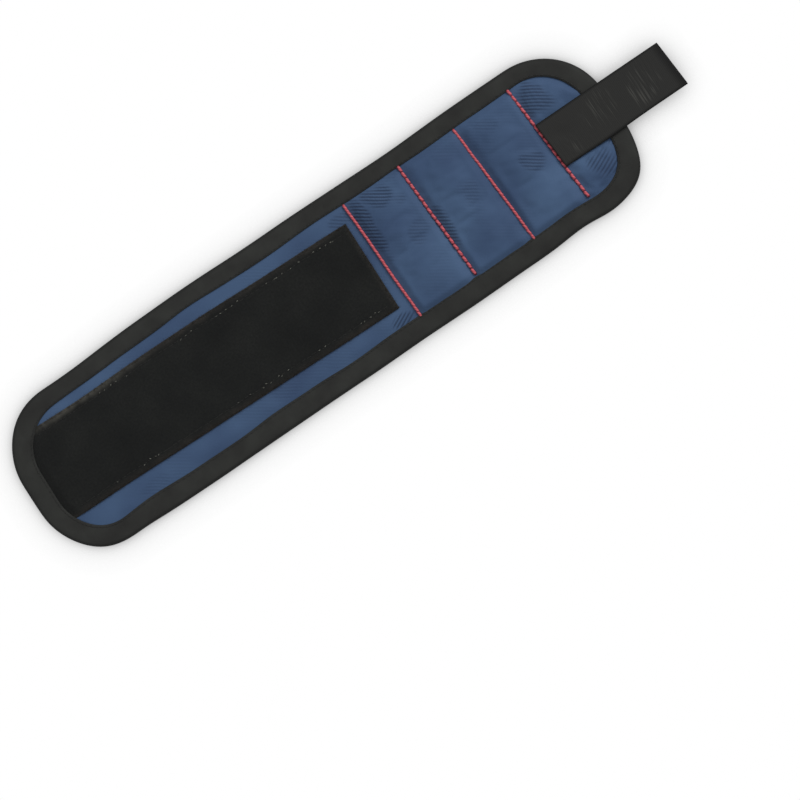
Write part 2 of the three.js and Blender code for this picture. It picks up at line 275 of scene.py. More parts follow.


# Loop tape: napped nylon pile, deep black because the loops trap the light, paler where it is brushed up, that
# paleness partly a painted sheen
def shadePile(add):
    look = {
        "deep": "#151616", "nap": "#202120", "rim": "#3A3632", "brushed": "#56554F",
        "cloud": 26, "loop": 1.1,  # loops are nearer 0.5 mm, drawn coarser
    }
    cloud = add("TexNoise", {**cellsOf(look["cloud"]), "Detail": 3})
    loops = add("TexNoise", {**cellsOf(look["loop"]), "Detail": 3, "Roughness": 0.7})
    both = add("Math", {0: cloud, 1: loops}, operation="MULTIPLY")
    tone = add("MapRange", {"Value": both, "From Min": 0.12, "From Max": 0.4})
    frayed = add("Math", {0: "rim", 1: loops}, operation="MULTIPLY")
    layers = [(tone, look["nap"]), (frayed, look["rim"]), ("brushed", look["brushed"])]
    return layered(add, look["deep"], layers, (loops, 0.5, 0.3), {
        "Roughness": 0.95, "Specular IOR Level": 0.06, "Sheen Weight": 0.05, "Sheen Roughness": 0.6,
    })


# Loose ends of the pile: fine dull fibres, browner than the loops where the light comes through
def shadeFringe(add):
    look = {"dark": "#24211E", "light": "#4C443D", "cloud": 3}
    cloud = add("TexNoise", {**cellsOf(look["cloud"]), "Detail": 1})
    colour = add("Mix", {"Factor": cloud, "A": look["dark"], "B": look["light"]}, data_type="RGBA")
    return add("BsdfPrincipled", {"Base Color": colour, "Roughness": 0.9, "Specular IOR Level": 0.05})


# Hook tape: injection moulded nylon, a dull field of hooks inside a smooth satin border, a line of painted shade
# between them
def shadeHooks(add, dark, light, roughness):
    look = {"groove": "#060606", "cloud": 16, "grit": 0.8}
    cloud = add("TexNoise", {**cellsOf(look["cloud"]), "Detail": 3})
    grit = add("TexNoise", {**cellsOf(look["grit"]), "Detail": 2})
    # The groove colour is painted shade in the line where the hook field steps down to its border; on the tab's panel
    # it darkens the panel's edges
    layers = [(cloud, light), ("rim", look["groove"])]
    return layered(add, dark, layers, (grit, 0.25, 0.1), {"Roughness": roughness, "Specular IOR Level": 0.16})


# Strap webbing: flat woven polyester, close ribs across it and paler creases where it has been bent, and painted
# shade along its sides and free end
def shadeWebbing(add):
    look = {
        "black": "#242423", "rub": "#444441", "edge": "#0E0E0E", "crease": (0.85, 17), "turn": 3,
        "pick": 0.9,  # picks are nearer 0.5 mm, drawn coarser
    }
    picks = add("TexWave", {
        **bandsOf(look["pick"]), "Distortion": 0.6, "Detail": 1,
    }, bands_direction="X").outputs["Fac"]
    wide, long = (1 / (size * mm) for size in look["crease"])
    slanted = add("Mapping", {
        "Vector": "rest", "Rotation": (0, 0, math.radians(look["turn"])), "Scale": (wide, long, 1),
    })
    creases = add("TexNoise", {"Vector": slanted, "Scale": 1, "Detail": 1})
    line = add("MapRange", {"Value": creases, "From Min": 0.54, "From Max": 0.7})
    rubbed = add("Math", {0: line, 1: "rubbed"}, operation="MULTIPLY")
    # The edge colour is painted shade along the sides and the free end
    layers = [(rubbed, look["rub"]), ("rim", look["edge"])]
    surface = {"Roughness": 0.72, "Specular IOR Level": 0.14}
    return layered(add, look["black"], layers, (picks, 0.35, 0.12), surface)


# Air mesh: knitted polyester spacer cloth, dull grey-black strands over a back that is nearly black, the strands'
# sides darkened towards the holes with painted shade
def shadeKnit(add, dark, light, hole, loop):
    look = {"cloud": 9}
    cloud = add("TexNoise", {**cellsOf(look["cloud"]), "Detail": 2})
    yarn = add("TexVoronoi", cellsOf(loop))
    tone = add("Math", {0: cloud, 1: yarn}, operation="MULTIPLY")
    # Painted shade on the sides of the strands, where they slope into the holes
    holeSideShade = add("MapRange", {"Value": "rim", "From Min": 0.45, "From Max": 1.0, "To Max": 0.85})
    surface = {"Roughness": 0.9, "Specular IOR Level": 0.05}
    return layered(add, light, [(tone, dark), (holeSideShade, hole)], (yarn, 0.4, 0.15), surface, invert=True)


# Closed-cell foam, pale and dull, and sintered ferrite, a dark grainy satin, both hidden in the pockets
def shadeGrain(add, dark, light, grain, roughness, metallic):
    place = add("TexCoord", {}).outputs["Object"]
    speck = add("TexNoise", {"Vector": place, "Scale": 1 / (grain * mm), "Detail": 3})
    surface = {"Roughness": roughness, "Metallic": metallic}
    return layered(add, dark, [(speck, light)], (speck, 0.3, 0.1), surface)


twill = newMaterial("polyester_twill_woven", shadeTwill)
bindingTape = newMaterial("polyester_binding_tape_woven", shadeBinding)
loopPile = newMaterial("nylon_loop_pile_napped", shadePile)
fringe = newMaterial("nylon_pile_fibre_frayed", shadeFringe)
hookField = newMaterial("nylon_hook_field_moulded", shadeHooks, "#363735", "#424340", 0.8)
hookBorder = newMaterial("nylon_hook_border_moulded", shadeHooks, "#414341", "#505250", 0.55)
tabHooks = newMaterial("nylon_hook_tab_moulded", shadeHooks, "#232425", "#2B2D2D", 0.8)
webbing = newMaterial("polyester_webbing_woven", shadeWebbing)
meshStrand = newMaterial("polyester_air_mesh_knitted", shadeKnit, "#33332F", "#5A5A55", "#121211", 0.8)
meshBack = newMaterial("polyester_spacer_back_knitted", shadeKnit, "#020202", "#060606", "#020202", 1.2)
foam = newMaterial("polyethylene_foam_closed_cell", shadeGrain, "#C9C6BE", "#DDDAD2", 1.2, 0.95, 0)
ferrite = newMaterial("ferrite_sintered", shadeGrain, "#3A3B3E", "#56585B", 0.6, 0.5, 0.4)
redThread = newMaterial("polyester_thread_red", shadeThread, "#C96268", "#A8454F")
paleThread = newMaterial("polyester_thread_pale", shadeThread, "#77776F", "#4A4A46")
blackThread = newMaterial("polyester_thread_black", shadeThread, "#222221", "#191918")
print("materials ready")


def addModifier(obj, kind, **settings):
    modifier = obj.modifiers.new(kind.title(), kind)
    setAll(modifier, settings)
    return modifier


def toObject(bm, name, materials=()):
    mesh = bpy.data.meshes.new(name)
    bm.to_mesh(mesh)
    bm.free()
    for material in materials:
        mesh.materials.append(material)
    obj = bpy.data.objects.new(name, mesh)
    bpy.context.collection.objects.link(obj)
    return obj


# The shape that a draft has once its modifiers are through with it
def harvest(obj):
    mesh = obj.data
    shaped = obj.evaluated_get(bpy.context.evaluated_depsgraph_get())
    bm = bmesh.new()
    bm.from_mesh(shaped.to_mesh())
    shaped.to_mesh_clear()
    bpy.data.objects.remove(obj)
    bpy.data.meshes.remove(mesh)
    return bm


def finished(bm, kind, **settings):
    obj = toObject(bm, "draft")
    addModifier(obj, kind, **settings)
    return harvest(obj)


# A flat sheet to shape
def flatGrid(fromX, toX, lowY, highY, step):
    bm = bmesh.new()
    halfX, halfY = (toX - fromX) / 2, (highY - lowY) / 2
    middle = Matrix.Translation(((fromX + toX) / 2, (lowY + highY) / 2, 0))
    bmesh.ops.create_grid(
        bm, x_segments=round(2 * halfX / step), y_segments=round(2 * halfY / step), size=1,
        matrix=middle @ Matrix.Diagonal((halfX, halfY, 1, 1)),
    )
    return bm


def perPoint(bm, name):
    return bm.verts.layers.float.new(name)


def trimTo(bm, measure, least):
    bmesh.ops.delete(bm, geom=[v for v in bm.verts if measure(v.co.x, v.co.y) < least], context="VERTS")


# A shape that is put on a piece many times
def toShape(bm, material):
    for face in bm.faces:
        face.material_index = material
    shape = bpy.data.meshes.new("shape")
    bm.to_mesh(shape)
    bm.free()
    return shape


def stamp(bm, shape, matrix):
    placed = shape.copy()
    placed.transform(matrix)
    bm.from_mesh(placed)
    bpy.data.meshes.remove(placed)


# One stitch: a length of thread that comes out of the cloth and goes back in
def makeStitch(length, width, rise, material=0, sunk=0):
    bm = bmesh.new()
    radius = (length * length / 4 + rise * rise) / (2 * rise)
    half = math.asin(length / 2 / radius)
    upright = Matrix.Translation((0, 0, rise)) @ Matrix.Rotation(math.pi / 2, 4, "Y")
    bmesh.ops.create_circle(bm, segments=6, radius=width / 2, matrix=upright)
    centre = (0, 0, rise - radius)
    bmesh.ops.rotate(bm, cent=centre, matrix=Matrix.Rotation(-half, 3, "Y"), verts=bm.verts)
    bmesh.ops.spin(bm, geom=bm.edges[:], cent=centre, axis=(0, 1, 0), angle=2 * half, steps=8)
    closeEnds(bm)
    # The ends, where the thread goes into the cloth, are marked for painted shade, as strongly as sunk says
    if sunk:
        rim = perPoint(bm, "rim")
        for v in bm.verts:
            v[rim] = sunk * smooth(abs(v.co.x) / length, 0.3, 0.46)
    return toShape(bm, material)


def closeEnds(bm):
    bmesh.ops.holes_fill(bm, edges=[e for e in bm.edges if e.is_boundary])
    bmesh.ops.recalc_face_normals(bm, faces=bm.faces)


def layUv(bm, place):
    layer = bm.loops.layers.uv.new("rest")
    for face in bm.faces:
        face.smooth = True
        for loop in face.loops:
            u, v = place(loop.vert.co)
            loop[layer].uv = (u * mm, v * mm)


# Give a layer its thickness, put its stitches, hooks or fibres on it and make it an object
def makePiece(bm, spec, name):
    area = sum(face.calc_area() for face in bm.faces)
    plan = sum(face.calc_area() * abs(face.normal.z) for face in bm.faces)
    low, high = (Vector(pick(v.co[k] for v in bm.verts) for k in range(3)) for pick in (min, max))
    if "thickness" in spec:
        bm = finished(bm, "SOLIDIFY", thickness=spec["thickness"], offset=spec["offset"])
    for shape, matrix in spec.get("trims", []):
        if low.x <= matrix.translation.x < high.x:
            stamp(bm, shape, matrix)
    layUv(bm, spec.get("place", lambda co: co.xy))
    settle(bm)
    bmesh.ops.scale(bm, vec=(mm, mm, mm), verts=bm.verts)
    obj = toObject(bm, name, spec["materials"])
    return obj


# Cut a layer in the middle of each stiff length, so that every piece holds one fold
def cutToFolds(bm, spec, name):
    pieces = []
    lowX, highX = (pick(v.co.x for v in bm.verts) for pick in (min, max))
    for i, fold in enumerate(folds):
        fromX = cuts[i - 1] if i else lowX - 1
        toX = cuts[i] if i < len(cuts) else highX + 1
        if fromX > highX or toX < lowX:
            continue
        part = bm.copy()
        for x, side in ((fromX, "clear_inner"), (toX, "clear_outer")):
            geom = part.verts[:] + part.edges[:] + part.faces[:]
            at = {"plane_co": (x, 0, 0), "plane_no": (1, 0, 0), side: True}
            bmesh.ops.bisect_plane(part, geom=geom, dist=1e-4, **at)
        for edge in part.edges:  # the cut stays sharp
            if edge.is_boundary and all(min(abs(v.co.x - fromX), abs(v.co.x - toX)) < 1e-3 for v in edge.verts):
                edge.smooth = False
        ends = (fold["left"], fold["right"])
        both = "_".join(ends)
        here = dict(spec, nets=[p for p in spec.get("nets", []) if p.name.endswith(both)])
        if "held" in spec:
            here["restsOn"] = [spec["restsOn"] + end for end in ends]
        obj = makePiece(part, here, f"{name}_{both}")
        bendAt(obj)
        if "nodes" in spec:
            there = [n for n in frame["nodes"] if n.startswith(spec["nodes"]) and n.endswith(ends)]
            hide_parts(*there)
        pieces.append(obj)
    bm.free()
    print(name, len(pieces), "pieces")
    return pieces


def bendAt(obj):
    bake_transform(obj)


# Twill cover: flat under the loop patch, puffed over the pockets, drawn down at the seams and the binding
cover = {
    "materials": [twill], "slot": "twill", "nodes": "cover_", "held": "stretched", "restsOn": "lining_",
    "thickness": 0.9, "offset": -1, "step": 2.0, "tuck": 5.5,
    "hem": 4.0, "loopTop": 4.6, "endTop": 5.2, "pocketTop": 5.4, "seamFloor": 4.5,
    "roll": (9.3, 14.4), "channel": (0.5, 5.2),
    "pocketWave": (0.35, 19, 1.3), "endWave": (0.5, 13, 3.3),  # height, size, seed
    "strip": {"middle": 3, "side": (27, 32), "rise": 0.2, "broad": (0.6, 14, 7.7), "fine": (0.2, 6, 1.1)},
    "seamPuckers": {"height": 0.22, "reach": 3, "pitch": 1.05, "stray": (3, 12, 6.4)},
    "hemPuckers": {"height": 0.2, "line": 12, "reach": 2, "grain": (5, 9.2)},
    "drawnTo": 14, "seamHeld": 0.3, "strapHeld": 14, "hemHeld": 10.8,
    "puff": {"scale": 0.01, "frames": 40, "most": 4.5, "cloth": {
        "quality": 8, "vertex_group_mass": "held", "shrink_min": -0.035, "bending_stiffness": 0.02, "mass": 0.02,
        "use_pressure": True, "uniform_pressure_force": 3,
    }},
    "padRoom": 0.45, "padSlope": (0.8, 5),
    "ribPitch": 1.7, "relief": 0.34, "groove": (0.3, 0.95), "ribSway": (1.8, 11, 2.4),
    "faint": 0.14, "faintGrain": (17, 5.1), "spotEdge": (0.5, 1.05), "spotBlur": (0.4, 7, 3.9),
    "ribs": {34.3: [  # turn of the ribs, then centre x, y, reach along and across, lean, strength
        (22.3, 19, 5, 20, 0, 1.0), (36, 27.5, 12, 6.5, -34, 0.85), (43.5, 2, 7, 8, -34, 0.4),
        (55.8, -4, 4.5, 15, 0, 0.75), (75, 4, 7, 7, -34, 0.4), (109.5, -1, 9, 6, -34, 0.7),
        (100, 28.5, 9, 4, -34, 0.35), (128, 24, 10, 11, 0, 0.85), (11, 29, 8, 4, 0, 0.45),
        (-60, -27, 14, 5, 0, 0.25), (-140, -30, 12, 5, 0, 0.25),
    ], -26: [(139, -22, 9, 8, 0, 0.6), (10, -31, 8, 3.5, 0, 0.7), (150, -10, 5, 9, 0, 0.45)]},
}


def coverTop(x, y):
    inset, fromSeam = inside(x, y), fromSeams(x, y)
    if seamAt(0, y) < x < seamAt(3, y):
        top = cover["pocketTop"] + wave(x, y, *cover["pocketWave"])
    elif x > seamAt(3, y):
        top = cover["endTop"] + wave(x, y, *cover["endWave"])
    else:
        strip = cover["strip"]
        uneven = strip["rise"] + wave(x + y, y / 2, *strip["broad"]) + wave(x, y, *strip["fine"])
        top = cover["loopTop"] + smooth(abs(y - strip["middle"]), *strip["side"]) * uneven
    pucker = cover["seamPuckers"]
    crest = math.sin(y / pucker["pitch"] + wave(x, y, *pucker["stray"]))
    top += pucker["height"] * math.exp(-fromSeam / pucker["reach"]) * crest
    top = mix(cover["seamFloor"], top, smooth(fromSeam, *cover["channel"]))
    pucker = cover["hemPuckers"]
    near = math.exp(-abs(inset - pucker["line"]) / pucker["reach"])
    top += pucker["height"] * near * ripple(x, y, *pucker["grain"])
    return mix(cover["hem"], top, smooth(inset, *cover["roll"]))


# How deep a groove the twill has at a point: its rib stands up in places, and faintly elsewhere
def ribAt(x, y):
    blur, sway = wave(x, y, *cover["spotBlur"]), wave(x, y, *cover["ribSway"])
    deepest = 0
    for turn, spots in cover["ribs"].items():
        share = cover["faint"] * smooth(ripple(x, y, *cover["faintGrain"]), -0.1, 0.4) if turn > 0 else 0
        for cx, cy, along, across, lean, strength in spots:
            c, s = math.cos(math.radians(lean)), math.sin(math.radians(lean))
            far = math.hypot(((x - cx) * c + (y - cy) * s) / along, ((y - cy) * c - (x - cx) * s) / across)
            if far < 1.6:  # beyond that the blur never brings it in
                share = max(share, strength * (1 - smooth(far + blur, *cover["spotEdge"])))
        over = x * math.sin(math.radians(turn)) + y * math.cos(math.radians(turn))
        swing = 0.5 + 0.5 * math.sin(2 * math.pi * over / cover["ribPitch"] + sway)
        deepest = max(deepest, share * smooth(swing, *cover["groove"]))
    return deepest


def bandGrid(step, tuck):
    bm = flatGrid(band["start"], band["end"], -band["halfWidth"], band["halfWidth"], step)
    trimTo(bm, edgeInset, tuck)
    return bm


# Blow up the cloth between its seams and its hem, with a little cloth to spare, until it lies as sewn
def puffed(bm, held):
    puff = cover["puff"]
    before = [v.co.copy() for v in bm.verts]
    obj = toObject(bm, "draft")
    obj.data.transform(Matrix.Scale(puff["scale"], 4))
    obj.vertex_groups.new(name="held").add(held, 1, "REPLACE")
    cloth = addModifier(obj, "CLOTH")
    setAll(cloth.settings, puff["cloth"])
    cloth.settings.effector_weights.gravity = 0
    cloth.collision_settings.use_collision = False
    for step in range(1, puff["frames"] + 1):
        scene.frame_set(step)
    out = harvest(obj)
    scene.frame_set(1)
    most = 0
    for v, was in zip(out.verts, before):
        move = v.co / puff["scale"] - was
        most = max(most, move.length)
        v.co = was + move * min(1, puff["most"] / max(move.length, 0.001))
    print("pockets blown up, moved up to", round(most, 2), "mm")
    return out


def makeCover():
    step = cover["step"]
    bm = bandGrid(step, cover["tuck"])
    columns = [bandMiddle - bandHalf + step * round((s - bandMiddle + bandHalf) / step) for s in seams]
    for v in bm.verts:
        x, y = v.co.x, v.co.y
        for i, column in enumerate(columns):  # a row of points lies on each seam
            v.co.x += (seamAt(i, y) - column) * (1 - smooth(abs(x - column), 0, cover["drawnTo"]))
        v.co.z = coverTop(v.co.x, y)
    bm.verts.index_update()
    held = []
    for v in bm.verts:
        x, y, z = v.co
        onSeam = fromSeams(x, y) < cover["seamHeld"]
        underStrap = x > seamAt(3, y) and abs(y) < cover["strapHeld"]
        if x < seamAt(0, y) or onSeam or underStrap or inside(x, y) < cover["hemHeld"]:
            held.append(v.index)
    bm = puffed(bm, held)
    pads = [[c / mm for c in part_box(f"magnet_carrier_{i}")] for i in (1, 2, 3)]
    for v in bm.verts:
        for low, high in pads:  # the cloth lies over the pad in its pocket
            over = max(low.x - v.co.x, v.co.x - high.x, low.y - v.co.y, v.co.y - high.y)
            onPad = high.z + cover["thickness"] + cover["padRoom"]
            v.co.z = max(v.co.z, mix(onPad, cover["hem"], smooth(over, *cover["padSlope"])))
    bm = finished(bm, "SUBSURF", levels=2, render_levels=2)
    # Each point keeps how deep its groove is, which the twill turns into painted shade
    ribs = perPoint(bm, "ribs")
    for v in bm.verts:
        v[ribs] = ribAt(v.co.x, v.co.y)
        v.co.z -= cover["relief"] * v[ribs]
    cutToFolds(bm, cover, "twill_cover")


makeCover()

# Edge binding: one tape folded over the edge all round, sewn through near its inner edges
binding = {
    "profile": [  # inset from the edge and height, from the face round to the back
        (10.35, 4.35), (10.25, 4.95), (9.4, 5.06), (5.2, 5.12), (1.5, 5.12), (-0.12, 4.4),
        (-0.12, 0.7), (1.5, -0.02), (5.2, 0), (9.4, 0), (10.25, 0.12), (10.35, 0.7),
    ],
    "materials": [bindingTape, blackThread], "slot": "binding_tape", "nodes": "binding_", "held": "folded",
    "restsOn": "cover_", "tape": 26, "thickness": 0.55, "offset": -1, "straightStep": 2.98, "cornerSteps": 16,
    "half": 2.5,  # height that parts its face from its back
    "wander": (0.09, 24), "swell": (0.16, 11), "faceSeed": 1.5, "backSeed": 6.5,
    "gather": {"most": 0.7, "fromEnd": (16, 9), "side": (12, 24)},  # on the back, under the strap
    "stitchLine": 9.4, "stitch": (2.3, 0.4, 0.16), "faceLift": -0.08, "backLift": 0.04, "turnRadius": 31,
}


def makeBinding():
    bm = bmesh.new()
    farX, farY = bandHalf - band["corner"], band["halfWidth"] - band["corner"]
    chain = [bm.verts.new((bandMiddle - farX, band["halfWidth"] - inset, z)) for inset, z in binding["profile"]]
    edges = [bm.edges.new(pair) for pair in zip(chain, chain[1:])]
    turns = [((farX, farY), (1, 0)), ((farX, -farY), (0, -1)), ((-farX, -farY), (-1, 0)), ((-farX, farY), (0, 1))]
    for (cx, cy), (dx, dy) in turns:
        run = 2 * (farX if dx else farY)
        steps = round(run / binding["straightStep"])
        straight = {"cent": (0, 0, 0), "dvec": (dx * run / steps, dy * run / steps, 0), "angle": 0, "steps": steps}
        corner = {"cent": (bandMiddle + cx, cy, 0), "angle": -math.pi / 2, "steps": binding["cornerSteps"]}
        for sweep in (straight, corner):
            swept = bmesh.ops.spin(bm, geom=edges, axis=(0, 0, 1), **sweep)
            edges = [g for g in swept["geom_last"] if isinstance(g, bmesh.types.BMEdge)]
    bmesh.ops.remove_doubles(bm, verts=bm.verts, dist=0.01)
    bmesh.ops.recalc_face_normals(bm, faces=bm.faces)
    gathered = perPoint(bm, "gathered")
    sewn = []
    for edge in bm.edges:
        a, b = (v.co for v in edge.verts)
        offLine = max(abs(edgeInset(co.x, co.y) - binding["stitchLine"]) for co in (a, b))
        if offLine < 0.05 and abs(a.z - b.z) < 0.01:
            sewn.append(edge)
    shapeBinding(bm, gathered)
    shape = makeStitch(*binding["stitch"], 1)
    trims = []
    for edge in sewn:
        a, b = (v.co for v in edge.verts)
        place, turn = (a + b) / 2, Matrix.Rotation(math.atan2(b.y - a.y, b.x - a.x), 4, "Z")
        onBack = place.z < binding["half"]
        flip = Matrix.Rotation(math.pi, 4, "X") if onBack else Matrix.Identity(4)
        lift = Matrix.Translation(place + Vector((0, 0, binding["backLift" if onBack else "faceLift"])))
        trims.append((shape, lift @ turn @ flip))
    bm = finished(bm, "SUBSURF", levels=1, render_levels=1)
    cutToFolds(bm, dict(binding, trims=trims, place=tapePlace), "edge_binding")


# The tape's inner edges wander, its face swells a little, and its back is gathered under the strap
def shapeBinding(bm, gathered):
    gather, h = binding["gather"], 0.01
    near, sure = (band["end"] - far for far in gather["fromEnd"])
    for v in bm.verts:
        x, y = v.co.x, v.co.y
        onFace = v.co.z > binding["half"]
        if not onFace:
            v[gathered] = gather["most"] * smooth(x, near, sure) * (1 - smooth(abs(y), *gather["side"]))
        inset, seed = edgeInset(x, y), binding["faceSeed" if onFace else "backSeed"]
        slopeX = edgeInset(x + h, y) - edgeInset(x - h, y)
        slopeY = edgeInset(x, y + h) - edgeInset(x, y - h)
        slope = Vector((slopeX, slopeY)) / (2 * h)
        share, size = binding["wander"]
        push = inset * (flapShare(x, y) - 1) + share * inset * ripple(x, y, size, seed)
        v.co.x += slope.x * push
        v.co.y += slope.y * push
        if onFace:
            v.co.z += wave(x, y, *binding["swell"], seed) * smooth(inset, 1, 5)


# Place on the tape: along the edge and across it
def tapePlace(co):
    overX, overY = pastCorner(co.x, co.y)
    along = co.x
    if overX > 0:
        turned = binding["turnRadius"] * math.atan2(overX, max(overY, 0.001)) + max(-overY, 0)
        along += math.copysign(turned - overX, co.x)
    return along, edgeInset(co.x, co.y) * (1 if co.z > binding["half"] else -1)


makeBinding()

# Air-mesh lining: a net of leaning strands over a closed back, tucked up under the binding and the hook patch
lining = {
    "cells": 92, "side": 3.6, "lean": 33.5, "strand": 0.74, "rounding": 0.34, "creased": 0.55,
    "unevenX": (0.45, 9, 1.7), "unevenY": (0.45, 7, 6.3), "open": 0.12, "tucked": 1.3,
    "backStep": 2.0, "backOpen": 1.75, "backTucked": 2.1, "tuck": 6, "underPatch": 3,
    "roll": (9.8, 13.5), "patchRoll": (-0.5, 3.5),
    "net": {"materials": [meshStrand], "slot": "air_mesh", "thickness": 0.6, "offset": 1},
    "back": {
        "materials": [meshBack], "slot": "air_mesh", "nodes": "lining_", "thickness": 0.7, "offset": 1,
        "held": "laid", "restsOn": "cover_",
    },
}
# Hook patch on the back: hooks inside a smooth border, its outer end under the binding
hookBox = [c / mm for end in ("inner", "outer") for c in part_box(f"hook_patch_{end}")]
hookPatch = {
    "fromX": hookBox[0].x, "toX": hookBox[3].x, "lowY": hookBox[0].y, "highY": hookBox[1].y,
    "step": 0.6, "border": 3.6, "innerBorder": 5.2, "borderLevel": 0.05, "fieldLevel": 0.55, "rimLift": 0.25,
    "tail": 2, "tuck": 8.2, "roll": (9.6, 12.5), "underBinding": 1.0, "hookClear": (0.6, 11.2),
    "materials": [hookField, hookBorder], "slot": "hook_tape", "thickness": 0.6, "offset": 1,
    "held": "laid", "restsOn": ["lining_pocket_3", "lining_end_zone"],
}


# How far a point lies outside the hook patch, less than 0 on it
def patchGap(x, y):
    return max(hookPatch["fromX"] - x, x - hookPatch["toX"], hookPatch["lowY"] - y, y - hookPatch["highY"])


def backLevel(x, y, openLevel, tuckedLevel):
    share = smooth(inside(x, y), *lining["roll"]) * smooth(patchGap(x, y), *lining["patchRoll"])
    return mix(tuckedLevel, openLevel, share)


def makeNet():
    bm = bmesh.new()
    cells = lining["cells"]
    bmesh.ops.create_grid(bm, x_segments=cells, y_segments=cells, size=cells / 2)
    along, across = (lining["side"] * part(math.radians(lining["lean"])) for part in (math.cos, math.sin))
    lean = Matrix(((along, along, 0, bandMiddle), (across, -across, 0, 0), (0, 0, 1, 0), (0, 0, 0, 1)))
    bmesh.ops.transform(bm, matrix=lean, verts=bm.verts)
    away = []
    for face in bm.faces:
        x, y, z = face.calc_center_median()
        if edgeInset(x, y) < lining["tuck"] + 1 or patchGap(x, y) < -lining["underPatch"]:
            away.append(face)
    bmesh.ops.delete(bm, geom=away, context="FACES")
    bmesh.ops.recalc_face_normals(bm, faces=bm.faces)
    if bm.faces[:][0].normal.z < 0:
        bmesh.ops.reverse_faces(bm, faces=bm.faces)
    for v in bm.verts:
        x, y = v.co.x, v.co.y
        v.co.x += wave(x, y, *lining["unevenX"])
        v.co.y += wave(x, y, *lining["unevenY"])
    rim = perPoint(bm, "rim")
    crease = perPoint(bm, "crease_vert")
    holes = bm.faces[:]
    crossings = set(bm.verts)
    bmesh.ops.inset_individual(bm, faces=holes, thickness=lining["strand"] / 2, use_even_offset=True)
    bmesh.ops.delete(bm, geom=holes, context="FACES_ONLY")
    # The points round each hole are marked, so that the knit paints shade on the strands' sides there
    for v in bm.verts:
        if v not in crossings:
            v.co.z = lining["rounding"]
            v[rim] = 1
            v[crease] = lining["creased"]
    bm = finished(bm, "SUBSURF", levels=1, render_levels=1)
    for v in bm.verts:
        v.co.z += backLevel(v.co.x, v.co.y, lining["open"], lining["tucked"])
    return cutToFolds(bm, lining["net"], "air_mesh_net")


def makeBack():
    bm = bandGrid(lining["backStep"], lining["tuck"])
    for v in bm.verts:
        v.co.z = backLevel(v.co.x, v.co.y, lining["backOpen"], lining["backTucked"])
    cutToFolds(bm, dict(lining["back"], nets=netPieces), "air_mesh_back")


netPieces = makeNet()
makeBack()

# Loop patch: pile tape laid a little askew, sewn down inside its long edges, its free end under the binding
pile = {
    "width": 51, "start": band["start"] + 7.5, "end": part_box("loop_patch_1")[1].x / mm, "shift": 3, "tilt": -1.3,
    "step": 0.8, "top": 6.4, "edgeTop": 5.3, "tucked": 4.15, "edge": (-0.2, 2.2), "roll": (9.8, 15), "tuck": 8,
    "sag": (0.2, 24, 2.2), "tufts": (0.16, 1.7, 6.6), "clear": 11,
    "sewnIn": 4.0, "sewnDepth": 0.3, "sewnWidth": 0.55, "pitch": 3.1, "firstStitch": 14, "lastStitch": 3,
    "stitch": (2.3, 0.26, 0.06, 3), "speck": (0.75, 0.32, 0.16, 2), "specks": 0.07, "moreSpecks": 0.8,
    "fibresPerMm": 4, "fibre": (1.2, 0.06), "firstFibre": 12,
    "brushed": {"most": 0.5, "start": (4, 20), "end": (50, 100), "stray": (1.6, 6, 5.9), "depth": (0.3, 4)},
    "frayed": {"least": 0.45, "stray": (1.5, 5, 8.8), "depth": (0, 3.6)},
    "materials": [loopPile, fringe, paleThread, blackThread], "slot": "loop_pile", "thickness": 0.6, "offset": -1,
    "held": "laid", "restsOn": "cover_",
}
pileLong, pileWide = (pile["end"] - pile["start"]) / 2, pile["width"] / 2
pileMiddle = ((pile["start"] + pile["end"]) / 2, pile["shift"], 0)
pileTurn = Matrix.Rotation(math.radians(pile["tilt"]), 4, "Z")
pileLay = Matrix.Translation(pileMiddle) @ pileTurn


# Height of the pile at u, w on the patch, which is x, y on the band
def pileTop(u, w, x, y):
    fromSide = pileWide - abs(w)
    top = mix(pile["edgeTop"], pile["top"], smooth(min(fromSide, pileLong - u), *pile["edge"]))
    top -= pile["sewnDepth"] * math.exp(-((fromSide - pile["sewnIn"]) / pile["sewnWidth"]) ** 2)
    top += wave(x, y, *pile["sag"]) + wave(x, y, *pile["tufts"])
    return mix(pile["tucked"], top, smooth(inside(x, y), *pile["roll"]))


# How far the nap is brushed up, and paler with a painted sheen: along the upper edge, near the free end
def brushedSheenAt(u, w):
    nap = pile["brushed"]
    start, end = ([-pileLong + far for far in nap[key]] for key in ("start", "end"))
    rise = smooth(u, *start) * (1 - smooth(u, *end))
    inner = smooth(pileWide - w + wave(u, w, *nap["stray"]), *nap["depth"])
    return nap["most"] * rise * (1 - inner) * smooth(ripple(u * 2, w, 3, 2.8), -1.2, 0.4)


def frayedAt(u, w):
    fray = pile["frayed"]
    share = mix(fray["least"], 1, smooth(ripple(u, w / 9, 22, 3.1), -0.3, 0.35))
    fromEdge = min(pileWide - abs(w), pileLong - u) + wave(u, w, *fray["stray"])
    return share * (1 - smooth(fromEdge, *fray["depth"]))


